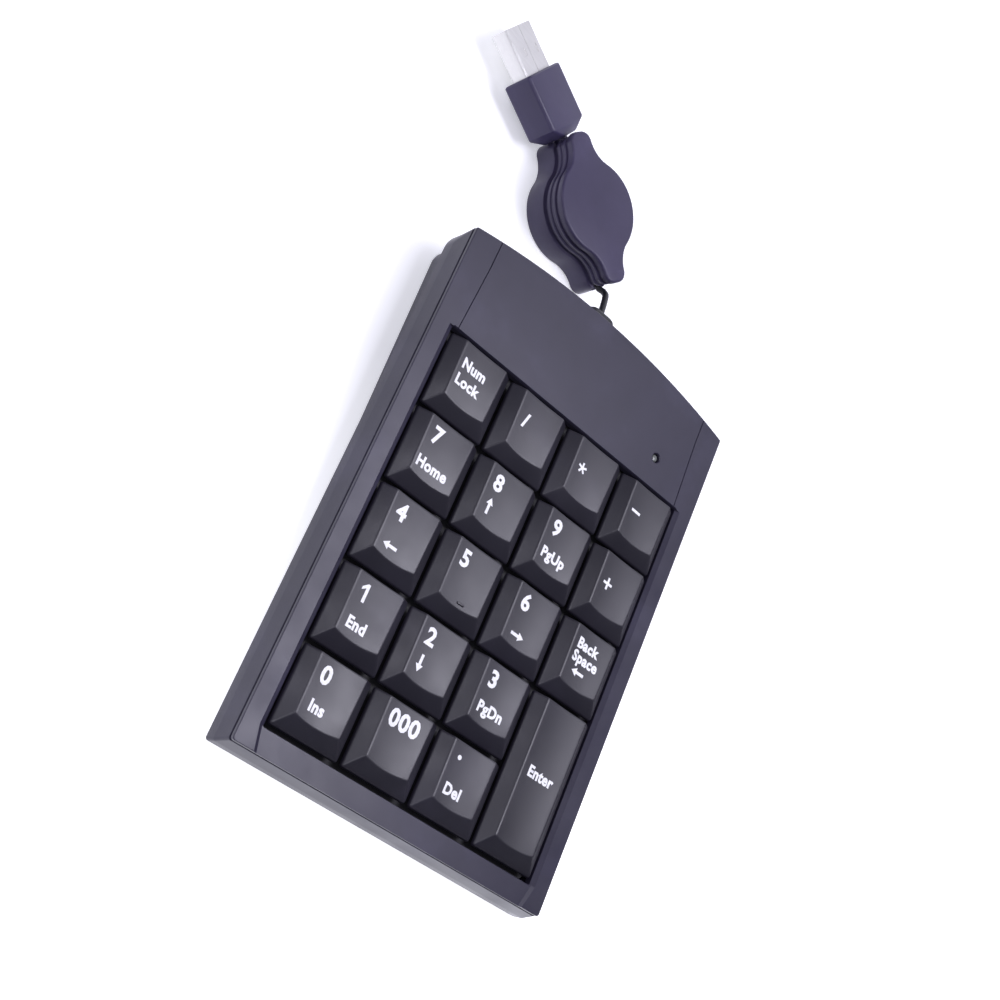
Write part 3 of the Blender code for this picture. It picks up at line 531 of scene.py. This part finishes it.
def cap_mesh(rows):
    """A tapered cap with a dished top and rounded edges, hollow below, and its stem."""
    long = KEY_BASE + (rows - 1) * PITCH / 2
    front, rear = -long + 3.7, long - 0.5
    # the rounding: how far out, forward and back each level goes, its height, and its corners
    edge = ((-CAP_EDGE, CAP_EDGE, -0.4, 0, 0.3), (-0.25, 0.25, -0.2, -0.03, 0.4),
            (-0.06, 0.05, -0.06, -0.12, 0.45), (0.16, -0.2, -0.01, -0.33, 0.45))
    levels = [(KEY_FRONT_HALF + out, KEY_REAR_HALF + out, front + forward, rear + back,
               KEY_TOP_Z + height, corner, KEY_DISH, KEY_LEAN)
              for out, forward, back, height, corner in edge]
    levels += [(8.55, 8.55, -long + 0.45, long - 0.25, 0.25, 0.5),
               (8.8, 8.8, -long + 0.2, long - 0.15, 0.0, 0.55),
               (8.95, 8.95, -long + 0.05, long - 0.05, -0.25, 0.55),
               (KEY_BASE, KEY_BASE, -long, long, -0.8, 0.55),
               (8.0, 8.0, -long + 1, long - 1, -0.8, 0.6),
               (5.6, 5.8, -long + 4.3, long - 1.3, 1.0, 0.5),
               (STEM[0], STEM[0], -STEM[1], STEM[1], 1.0, 0.2),
               (STEM[0], STEM[0], -STEM[1], STEM[1], STEM_BOTTOM_Z, 0.2)]
    rings = [cap_ring(*level) for level in levels]
    points, faces = loft(rings)
    count = len(rings[0])
    return points, faces[:-2] + cap_fill(0, count) + cap_fill(len(points) - count, count)


def cap_fill(start, count):
    """Faces over a cap's ring of points: strips from front to rear, and one face at each side."""
    rear_start = DISH_STEPS + 2 * CORNER_STEPS
    faces = []
    for i in range(DISH_STEPS):
        a = start + i
        b = start + rear_start + DISH_STEPS - i
        faces.append((a, a + 1, b - 1, b))
    faces.append(tuple(start + i for i in range(DISH_STEPS, rear_start + 1)))
    faces.append(tuple(start + i % count for i in range(rear_start + DISH_STEPS, count + 1)))
    return faces


def key_middle(name):
    column, row, rows = KEYS[name]
    return (column - 1.5) * PITCH, (2 - row - (rows - 1) / 2) * PITCH


def key_matrix(name):
    return DECK @ Matrix.Translation((*key_middle(name), 0))


def make_keycaps(materials):
    """A cap for each key, and the short bar on the middle key that a finger finds."""
    for name, (column, row, rows) in KEYS.items():
        cap = link(f"cap_{name}", make_mesh(f"cap_{name}", *cap_mesh(rows), key_matrix(name)))
        finish_piece(cap, materials["keycap"], f"key_{name}", [f"key_{name}"], 35)
    sections = ((-0.28, 0.8, 0.1), (-0.14, 1.05, 0.26), (0.14, 1.05, 0.26), (0.28, 0.8, 0.1))
    bar = [[(x, y, z) for x, z in rounded_rectangle(half, height, height * 0.9, 4)]
           for y, half, height in sections]
    place = key_matrix("5") @ Matrix.Translation((0.5, -4.6, KEY_TOP_Z - KEY_DISH + 0.02))
    homing = link("homing_bar", make_mesh("homing_bar", *loft(bar), place))
    finish_piece(homing, materials["keycap"], "key_5")


def make_domes(materials):
    """The rubber sheet below the keys: a dome under each key, which the key flattens."""
    low, high = -6.15, -5.9
    top = -4.1
    outline = [(-34.4, -50), (34.4, -50), (40, -43), (40, 49.2), (-40, 49.2), (-40, -43)]
    sheet = link("dome_sheet_base", make_mesh("dome_sheet_base", *prism(outline, low, high), DECK))
    profile = [(0.01, top), (1.75, top), (1.95, top - 0.1), (3.2, -5.0), (4.3, -5.75), (4.5, high),
               (4.0, high), (3.8, -5.8), (2.8, -5.1), (1.5, top - 0.45), (0.01, top - 0.45)]
    holes = []
    for name in KEYS:
        holes.append(prism(circle(3.9, 24, key_middle(name)), low - 1, high + 1))
        dome = link(f"dome_{name}", make_mesh(f"dome_{name}", *turned(profile, 28), key_matrix(name)))
        finish_piece(dome, materials["silicone"], "case", ["dome_sheet"], 40)
        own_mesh(dome)
    combine(sheet, "DIFFERENCE", holes, DECK)
    finish_piece(sheet, materials["silicone"], "case", ["dome_sheet"], 40)


# ---- legends ------------------------------------------------------------------------------------

INK_THICKNESS = 0.03
FONT_CAPITAL = 0.73            # a capital's height in a font of size 1
DIGIT = (-2.9, 4.5)            # where a numeral is, from its key's middle


def on_cap(x):
    """The height of a legend's middle at x, on the dished top inside the cap's rounded edge."""
    return KEY_TOP_Z - dished(x, KEY_FRONT_HALF - CAP_EDGE, KEY_DISH) + INK_THICKNESS / 2


def printed(outline):
    """A flat shape as thick as the ink."""
    return prism(outline, -INK_THICKNESS / 2, INK_THICKNESS / 2)


def turn_points(points, angle):
    return [(x * math.cos(angle) - y * math.sin(angle), x * math.sin(angle) + y * math.cos(angle))
            for x, y in points]


def text_shape(text, height, weight, width=1.0):
    """A word as points and faces round its own middle. Its capitals are height tall, and weight is
    how much thicker than the font's its strokes are on each side."""
    curve = bpy.data.curves.new("word", "FONT")
    curve.body = text
    curve.size = height / FONT_CAPITAL
    curve.align_x = "CENTER"
    curve.align_y = "CENTER"
    curve.extrude = weight
    curve.bevel_depth = weight
    curve.bevel_resolution = 0
    curve.resolution_u = 3
    curve.space_character = 1.06
    word = link("word", curve)
    graph = bpy.context.evaluated_depsgraph_get()
    graph.update()
    mesh = bpy.data.meshes.new_from_object(word.evaluated_get(graph))
    flatten = INK_THICKNESS / 4 / weight    # the bevelled letter is four weights thick
    points = [(v.co.x * width, v.co.y, v.co.z * flatten) for v in mesh.vertices]
    faces = [tuple(face.vertices) for face in mesh.polygons]
    bpy.data.objects.remove(word)
    bpy.data.meshes.remove(mesh)
    return points, faces


def numeral_one(height, weight):
    """A one: an upright bar with a slanted flag."""
    half, low, high = weight / 2, -height / 2, height / 2
    tip = -1.9 * weight
    outline = [(-half, low), (half, low), (half, high), (-half * 0.6, high), (tip, high - 1.35 * weight),
               (tip, high - 2.25 * weight), (-half, high - 1.35 * weight)]
    return printed([(x + 0.4 * weight, y) for x, y in outline])


def star_shape(arms, reach, half_width, turn=0.0):
    """Equal arms round one middle, as one outline."""
    half_step = math.pi / arms
    notch = half_width / math.sin(half_step)
    outline = []
    for arm in range(arms):
        angle = turn + 2 * half_step * arm
        outline += turn_points([(reach, -half_width), (reach, half_width)], angle)
        outline += turn_points([(notch, 0)], angle + half_step)
    return printed(outline)


def arrow_shape(length, turn):
    """An arrow with a thin shaft and a solid head, pointing right before it is turned."""
    half, shaft = length / 2, 0.36
    neck = half - 1.6
    outline = [(-half, -shaft), (neck, -shaft), (neck, -1.0), (half, 0), (neck, 1.0), (neck, shaft),
               (-half, shaft)]
    return printed(turn_points(outline, turn))


def legends():
    """What is printed on each key: shapes, and where their middles are."""
    def digit(text):
        return text_shape(text, 3.9, 0.19), DIGIT

    def word(text, place):
        return text_shape(text, 2.55, 0.15, 0.95), place

    def sign(text, height, place):
        return text_shape(text, height, 0.19), place

    def bar(half_x, half_y, place):
        return printed(rounded_rectangle(half_x, half_y, 0.12, 3)), place

    def arrow(turn, place):
        return arrow_shape(3.9, math.radians(turn)), place

    return {"num_lock": [word("Num", (-1.4, 3.5)), word("Lock", (-1.6, -0.5))],
            "divide": [sign("/", 3.4, (-3.1, 1.9))],
            "multiply": [(star_shape(5, 1.35, 0.26, math.pi / 2), (-2.9, 1.7))],
            "minus": [bar(1.5, 0.33, (-2.9, 1.6))],
            "plus": [(star_shape(4, 1.45, 0.31), (-2.8, 1.35))],
            "7": [digit("7"), word("Home", (-0.9, -2.4))],
            "8": [digit("8"), arrow(90, (-3.0, -1.1))],
            "9": [digit("9"), word("PgUp", (-0.9, -1.9))],
            "4": [digit("4"), arrow(180, (-2.2, -3.0))],
            "5": [digit("5")],
            "6": [digit("6"), arrow(0, (-1.7, -3.0))],
            "backspace": [word("Back", (-1.2, 4.5)), word("Space", (-0.6, 1.3)),
                          arrow(180, (-1.4, -1.9))],
            "1": [(numeral_one(4.1, 0.76), DIGIT), word("End", (-1.5, -2.4))],
            "2": [digit("2"), arrow(270, (-2.9, -1.4))],
            "3": [digit("3"), word("PgDn", (-0.6, -2.0))],
            "enter": [word("Enter", (-0.3, 1.5))],
            "0": [digit("0"), word("Ins", (-1.8, -2.1))],
            "000": [sign("000", 3.9, (-0.4, 4.7))],
            "decimal": [sign(".", 4.4, (-3.3, 6.6)), word("Del", (-1.7, -2.1))]}


def make_legends(materials):
    """Each key's printing as one piece, bent to follow the key's dished top."""
    for name, parts in legends().items():
        points, faces = [], []
        for (shape_points, shape_faces), (dx, dy) in parts:
            start = len(points)
            points += [(x + dx, y + dy, z + on_cap(x + dx)) for x, y, z in shape_points]
            faces += [tuple(start + i for i in face) for face in shape_faces]
        legend = link(f"legend_{name}", make_mesh(f"legend_{name}", points, faces, key_matrix(name)))
        finish_piece(legend, materials["ink"], f"key_{name}")


# ---- cord, gland and reel -----------------------------------------------------------------------

def smooth_route(points, step):
    """Points about one step apart on a smooth curve through the given ones."""
    ends = [2 * points[0] - points[1]] + points + [2 * points[-1] - points[-2]]
    route = []
    for a, b, c, d in zip(ends, ends[1:], ends[2:], ends[3:]):
        pieces = max(2, round((c - b).length / step))
        for i in range(pieces):
            t = i / pieces
            route.append(((2 * b) + (c - a) * t + (2 * a - 5 * b + 4 * c - d) * t ** 2
                          + (3 * b - a - 3 * c + d) * t ** 3) / 2)
    return route + [points[-1]]


def cord_route():
    """The cord from behind the circuit board, out through the gland and into the reel's mouth."""
    x = GLAND_X
    inside = [(x - 19, 68.9, -5), (x - 14, 68.8, -5), (x - 9, 68.5, -5), (x - 4.6, 68.6, -5),
              (x - 1.6, 69.8, -5), (x - 0.2, 72.6, -5), (x, 75.9, -5), (x, 79.2, -5)]
    outside = [(-20.6, 0.4, 8.3), (-18.8, 0.4, 6.7), (-16, 0.2, 5.9), (-13, 0.2, 5.7), (-10.6, 0.2, 5.6)]
    points = [DECK @ Vector(point) for point in inside] + [REEL @ Vector(point) for point in outside]
    return smooth_route(points, 1.2)


def tube_curve(name, route, radius):
    curve = bpy.data.curves.new(name, "CURVE")
    curve.dimensions = "3D"
    spline = curve.splines.new("POLY")
    spline.points.add(len(route) - 1)
    for point, place in zip(spline.points, route):
        point.co = (*(place * MM), 1)
    curve.bevel_depth = radius * MM
    curve.bevel_resolution = 5
    curve.use_fill_caps = True
    return link(name, curve)


def make_cord(materials):
    """The cord from the circuit board to the reel."""
    route = cord_route()
    cord = tube_curve("cord_to_reel", route, CORD_RADIUS)
    cord.data.materials.append(materials["cord"])
    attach(cord, "case")
    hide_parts("keypad_cord")


def make_gland(materials):
    """A flattened rubber grommet, ribbed outside the wall, that tapers towards the cord."""
    wall_out = DECK_REAR_CORNER + REAR_BOW + FLARE
    wall_in = wall_out - WALL - FLARE
    half, neck = GLAND_HALF, (3.0, 1.4)
    levels = [(wall_in - 1.5, half, 1.8), (wall_in - 0.3, half, 1.9), (wall_in - 0.3, neck, 1.2),
              (wall_out + 0.3, neck, 1.2)]
    # outside the wall: the distance from it, how much narrower and lower it is, and its corners
    ribs = ((0.3, 0.15, 0.15, 1.9), (0.45, 0, 0, 2.0), (1.2, 0, 0, 2.0), (1.35, 0.2, 0.2, 1.8),
            (1.5, 0.2, 0.2, 1.8), (1.65, 0.1, 0.1, 1.9), (2.2, 0.4, 0.3, 1.7), (2.6, 1.0, 0.7, 1.3))
    levels += [(wall_out + out, (half[0] - narrower, half[1] - lower), corner)
               for out, narrower, lower, corner in ribs]
    rings = [[(x, y, z) for x, z in rounded_rectangle(*size, min(radius, size[1] - 0.05), 8)]
             for y, size, radius in levels]
    place = DECK @ Matrix.Translation((GLAND_X, 0, GLAND_Z))
    gland = link("cord_gland", make_mesh("cord_gland", *loft(rings), place))
    bore = [[(x, y, z) for x, z in circle(CORD_RADIUS + 0.15, 24, (GLAND_X, GLAND_Z))]
            for y in (wall_in - 5, wall_out + 5)]
    combine(gland, "DIFFERENCE", [loft(bore)], DECK)
    finish_piece(gland, materials["cord"], "case", ["cable_gland"], 35)


def reel_outline(radius, half_tab, reach, fillet, corner, shrink=0.0):
    """A disc with a tab at each end of its x axis, blending into the disc, all drawn in by shrink."""
    radius, half_tab, reach = radius - shrink, half_tab - shrink, reach - shrink
    fillet, corner = fillet + shrink, corner - shrink
    centre_y = half_tab + fillet
    centre_x = math.sqrt((radius + fillet) ** 2 - centre_y ** 2)
    lean = math.atan2(centre_y, centre_x)
    quarter = math.pi / 2
    right = arc((reach - corner, half_tab - corner), corner, 0, quarter, 6)
    right += arc((centre_x, centre_y), fillet, -quarter, lean - 2 * quarter, 12)
    upper = right + arc((0, 0), radius, lean, 2 * quarter - lean, 40)[1:-1]
    upper += [(-x, y) for x, y in reversed(right)]
    return upper + [(-x, -y) for x, y in upper]


def reel_shell(name, levels, materials, node, cuts):
    """A half of the reel, from levels that are each drawn in by some distance at some height."""
    rings = [at_height(reel_outline(REEL_RADIUS, *REEL_TAB, REEL_FILLET, REEL_CORNER, shrink), z)
             for shrink, z in levels]
    shell = link(name, make_mesh(name, *loft(rings), REEL))
    combine(shell, "DIFFERENCE", cuts, REEL)
    return finish_piece(shell, materials["reel"], "case", [node], 30)


def make_reel(materials):
    """Two halves with a lip round the top and ribs down the side."""
    top = REEL_HEIGHT
    cavity = reel_outline(*REEL_CAVITY, REEL_TAB[1] - 2.4, REEL_FILLET + 1.5, 0.4)
    upper = [(0.7, 6.9), (0.7, 7.5), (0.4, 7.65), (0.3, 7.85), (0.3, 8.15), (0.4, 8.35), (0.65, 8.5),
             (0.65, 9.3), (0.4, 9.45), (0.3, 9.65), (0.3, 9.95), (0.4, 10.15), (0.75, 10.3),
             (0.75, 11.3), (0.15, 11.4), (0, 11.55), (0, top - 0.6), (0.05, top - 0.37),
             (0.18, top - 0.18), (0.37, top - 0.05), (0.6, top)]
    lower = [(0.5, 0), (0.15, 0.15), (0, 0.5), (0, 6.1), (0.1, 6.3), (0.7, 6.4), (0.9, 6.5), (0.9, 6.6)]
    axle = circle(1.65, 24)
    mouths = [reel_mouth(-REEL_TAB[1] - 2, -REEL_CAVITY[0] - 3, 1.76, 4.6),
              reel_mouth(13, REEL_TAB[1] + 2.4, 2.17, 4.2)]
    reel_shell("reel_top", upper, materials, "reel_upper_shell",
               [prism(cavity, 5, top - 1.5), *mouths, prism(axle, 9, top - 0.6)])
    reel_shell("reel_base", lower, materials, "reel_lower_shell",
               [prism(cavity, 1.5, 8), *mouths, prism(axle, 0.6, 4)])


def reel_mouth(start, end, half_width, bottom):
    """The way through the end of a tab for the cord."""
    top = 8.6
    middle = (bottom + top) / 2
    outline = rounded_rectangle(half_width, top - middle, 1.2)
    return loft([[(x, y, z + middle) for y, z in outline] for x in (start, end)])


def make_wound_cord(materials):
    """The cord that is wound on the spool: turns side by side in layers."""
    route = []
    turns, layers = 3, 3
    per_turn = 28
    inner_radius, layer_step = 5.1, 1.65
    bottom, height = 3.8, 3.2
    for layer in range(layers):
        radius = inner_radius + layer * layer_step
        for i in range(turns * per_turn):
            along = i / (turns * per_turn)
            along = 1 - along if layer % 2 else along
            angle = 2 * math.pi * (layer * turns + i / per_turn)
            x, y = radius * math.cos(angle), radius * math.sin(angle)
            route.append(REEL @ Vector((x, y, bottom + height * along)))
    coil = tube_curve("cord_on_spool", route, WOUND_RADIUS)
    coil.data.materials.append(materials["cord"])
    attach(coil, "spool")
    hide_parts("reel_cord_coil")


# ---- plug ---------------------------------------------------------------------------------------

def along_x(levels):
    """Rounded rectangles across the x axis, each with its x, half width, half height and corners."""
    return [[(x, y, z) for y, z in rounded_rectangle(half_y, half_z, radius)]
            for x, half_y, half_z, radius in levels]


def make_plug(materials):
    """A tapered grip, and the metal shell with its two pairs of windows and its seam."""
    face = -SHELL_LENGTH
    rear = face - GRIP_LENGTH
    wide, high = GRIP_HALF
    grip = [(face, wide - 0.7, high - 0.7, 0.7), (face - 0.1, wide - 0.3, high - 0.3, 0.7),
            (face - 0.45, wide, high, 1.0), (rear + 0.7, wide, high, 1.0),
            (rear + 0.35, wide - 0.25, high - 0.08, 0.9), (rear - 1.7, 3.7, 3.25, 0.75),
            (rear - 1.9, 3.3, 3.0, 0.75), (rear - 1.95, 2.9, 2.7, 0.75), (rear - 1.95, 1.2, 1.7, 1.1),
            (rear - 3.6, 1.2, 1.7, 1.1)]
    overmould = link("plug_grip", make_mesh("plug_grip", *loft(along_x(grip)), PLUG))
    pocket = [(x, SHELL_HALF[0] + 0.12, SHELL_HALF[1] + 0.12, 0.6) for x in (face + 1, face - 4)]
    combine(overmould, "DIFFERENCE", [loft(along_x(pocket))], PLUG)
    finish_piece(overmould, materials["plug"], "plug", ["plug_overmould"], 30)
    back = face - 3.7
    # how far each level is inside the shell's outer face, and its corners
    section = ((-0.25, 0, 0.55), (back, 0, 0.55), (back, 0.3, 0.3), (-0.1, 0.3, 0.3), (0, 0.22, 0.36),
               (0, 0.12, 0.46), (-0.08, 0.03, 0.53))
    shell_rings = [(x, SHELL_HALF[0] - inset, SHELL_HALF[1] - inset, corner)
                   for x, inset, corner in section]
    shell = link("plug_metal", make_mesh("plug_metal", *loft(along_x(shell_rings), closed=True), PLUG))
    cuts = [block(-7.6, -5.4, y - 1.2, y + 1.2, *height)
            for y in (-2.9, 2.9) for height in ((2.06, 4), (-4, -2.06))]
    cuts.append(block(face, 1, -0.06, 0.06, 2.15, 3))
    combine(shell, "DIFFERENCE", cuts, PLUG)
    finish_piece(shell, materials["steel"], "plug", ["plug_shell"], 30)


def make_payout(materials):
    """The cord from inside the reel to the plug's neck, which gets longer as the plug is pulled."""
    face = -SHELL_LENGTH - GRIP_LENGTH
    start = PLUG @ Vector((face - 7.0, 0.75, -0.1))
    middle = PLUG @ Vector((face - 5.4, 0.3, 0))
    end = PLUG @ Vector((face - 3.5, 0, 0))
    route = smooth_route([start, middle, end], 0.1)
    cord = tube_to_mesh(tube_curve("cord_to_plug", route, WOUND_RADIUS))
    cord.data.materials.append(materials["cord"])
    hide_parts("plug_cord")
    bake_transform(cord)


def tube_to_mesh(thing):
    """A mesh object in place of a curve object's tube."""
    graph = bpy.context.evaluated_depsgraph_get()
    graph.update()
    mesh = bpy.data.meshes.new_from_object(thing.evaluated_get(graph))
    name = thing.name
    bpy.data.objects.remove(thing)
    return link(name, mesh)


# ---- carried-over nodes, light and camera -------------------------------------------------------

def dress_nodes(materials):
    """Gives every CAD node that still shows its material."""
    slots = {part["node"]: part["material_slot"] for part in frame["record"]["subparts"]}
    for name, node in frame["nodes"].items():
        slot = "case" if slots[name] == "housing" else slots[name]
        node.data.materials.clear()
        node.data.materials.append(materials[slot])


def make_camera():
    """A camera above the keypad's front left corner, turned so that the plug is at the top."""
    camera = link("camera", bpy.data.cameras.new("camera"))
    place = Vector((-0.18704, -0.13781, 0.27875))
    direction = Vector((-0.00792, 0.01108, 0.012)) - place
    turn = direction.to_track_quat("-Z", "Y") @ Quaternion((0, 0, 1), math.radians(79.6))
    camera.matrix_world = Matrix.Translation(place) @ turn.to_matrix().to_4x4()
    camera.data.lens = 57.58
    bpy.context.scene.camera = camera


def soft_light(name, place, aim, size, power, colour=(0.95, 0.935, 1.07)):
    """A rectangular softbox; size is its width and its length."""
    data = bpy.data.lights.new(name, "AREA")
    data.shape = "RECTANGLE"
    data.size, data.size_y = size
    data.energy = power
    data.color = colour
    light = link(name, data)
    light.location = place
    light.rotation_euler = (Vector(aim) - Vector(place)).to_track_quat("-Z", "Y").to_euler()


def make_floor():
    """A light table: pale, lit from within, and brightest in front and far away."""
    mesh = bpy.data.meshes.new("floor")
    mesh.from_pydata([(-3, -3, 0), (3, -3, 0), (3, 3, 0), (-3, 3, 0)], [], [(0, 1, 2, 3)])
    floor = link("floor", mesh)
    material, tree, shader = new_material("floor_acrylic", 0.9)
    tone = ramp(tree, noise(tree, 3, 2), [(0.3, (0.88, 0.88, 0.9)), (0.7, (0.9, 0.9, 0.91))])
    tree.links.new(tone, shader.inputs["Base Color"])
    shader.inputs["Emission Color"].default_value = (0.95, 0.96, 1.0, 1)
    place = tree.nodes.new("ShaderNodeTexCoord")
    split = tree.nodes.new("ShaderNodeSeparateXYZ")
    near_glow = map_range(tree, (-0.09, 0.03), (1.15, 0.42))
    distance = tree.nodes.new("ShaderNodeVectorMath")
    distance.operation = "LENGTH"
    far_glow = map_range(tree, (0.35, 0.8), (0.0, 1.0))
    brighter = tree.nodes.new("ShaderNodeMath")
    brighter.operation = "MAXIMUM"
    tree.links.new(place.outputs["Object"], split.inputs["Vector"])
    tree.links.new(split.outputs["Y"], near_glow.inputs["Value"])
    tree.links.new(place.outputs["Object"], distance.inputs[0])
    tree.links.new(distance.outputs["Value"], far_glow.inputs["Value"])
    tree.links.new(near_glow.outputs["Result"], brighter.inputs[0])
    tree.links.new(far_glow.outputs["Result"], brighter.inputs[1])
    tree.links.new(brighter.outputs["Value"], shader.inputs["Emission Strength"])
    mesh.materials.append(material)


def make_stage():
    """The floor, a sky that looks pale but gives little light, and soft lights."""
    bpy.context.scene.view_settings.view_transform = "Standard"
    world = bpy.data.worlds.new("sky")
    bpy.context.scene.world = world
    world.use_nodes = True
    background = world.node_tree.nodes["Background"]
    background.inputs["Color"].default_value = (0.86, 0.88, 1.0, 1)
    seen = world.node_tree.nodes.new("ShaderNodeLightPath")
    strength = map_range(world.node_tree, (0.0, 1.0), (0.18, 1.1))
    world.node_tree.links.new(seen.outputs["Is Camera Ray"], strength.inputs["Value"])
    world.node_tree.links.new(strength.outputs["Result"], background.inputs["Strength"])
    make_floor()
    soft_light("key_light", (0.15, 0.11, 0.55), (0.0, 0.11, 0), (0.34, 0.36), 2.15)
    soft_light("front_light", (0.19, 0.0, 0.55), (0, -0.02, 0), (0.1, 0.1), 0.42)
    soft_light("rear_light", (0.25, 0.62, 0.42), (0, 0, 0), (0.8, 0.8), 1.7)
    soft_light("left_light", (-0.45, 0.1, 0.4), (0.0, 0.06, 0), (0.12, 0.12), 0.4)
    soft_light("near_light", (-0.25, -0.19, 0.38), (0, 0, 0), (0.2, 0.2), 0.46)


def main():
    make_camera()
    materials = make_materials()
    make_cord(materials)
    make_wound_cord(materials)
    make_payout(materials)
    make_cover(materials)
    make_case(materials)
    make_feet(materials)
    make_keycaps(materials)
    make_domes(materials)
    make_legends(materials)
    make_gland(materials)
    make_reel(materials)
    make_plug(materials)
    dress_nodes(materials)
    make_stage()


main()
